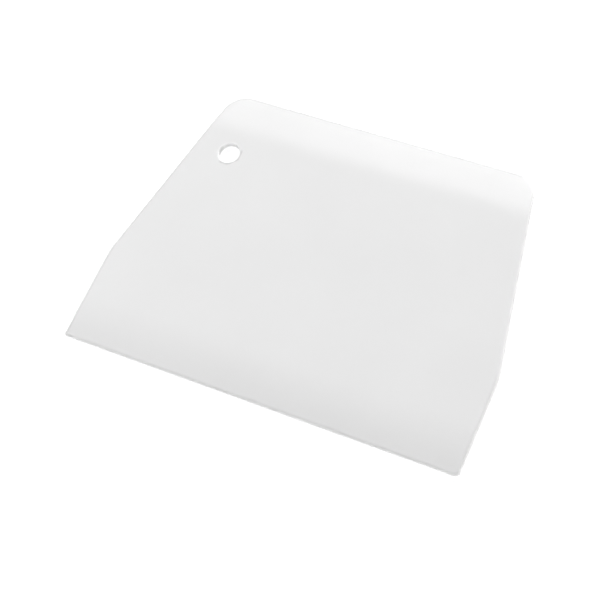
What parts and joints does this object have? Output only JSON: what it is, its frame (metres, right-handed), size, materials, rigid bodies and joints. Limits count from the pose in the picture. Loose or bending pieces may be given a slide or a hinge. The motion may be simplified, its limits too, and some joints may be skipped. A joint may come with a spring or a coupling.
{
  "type": "dough scraper",
  "caption": "Flat hand-held dough scraper card with a straight tapered scraping edge, slanted sides, rounded grip corners and a hanging hole.",
  "frame": {"origin": "centre of the card's bounding box, on the flat underside that it rests on", "axes": "+X along the scraping edge, with the hanging hole on the -X side, +Y from the scraping edge to the grip edge, +Z out of the upper face"},
  "size_m": [0.12, 0.088, 0.002],
  "materials": {
    "white_polypropylene": "semi-matt, as moulded, slightly translucent at thin edges"
  },
  "bodies": {
    "root": {"scraper_card": "white_polypropylene"}
  },
  "joints": []
}
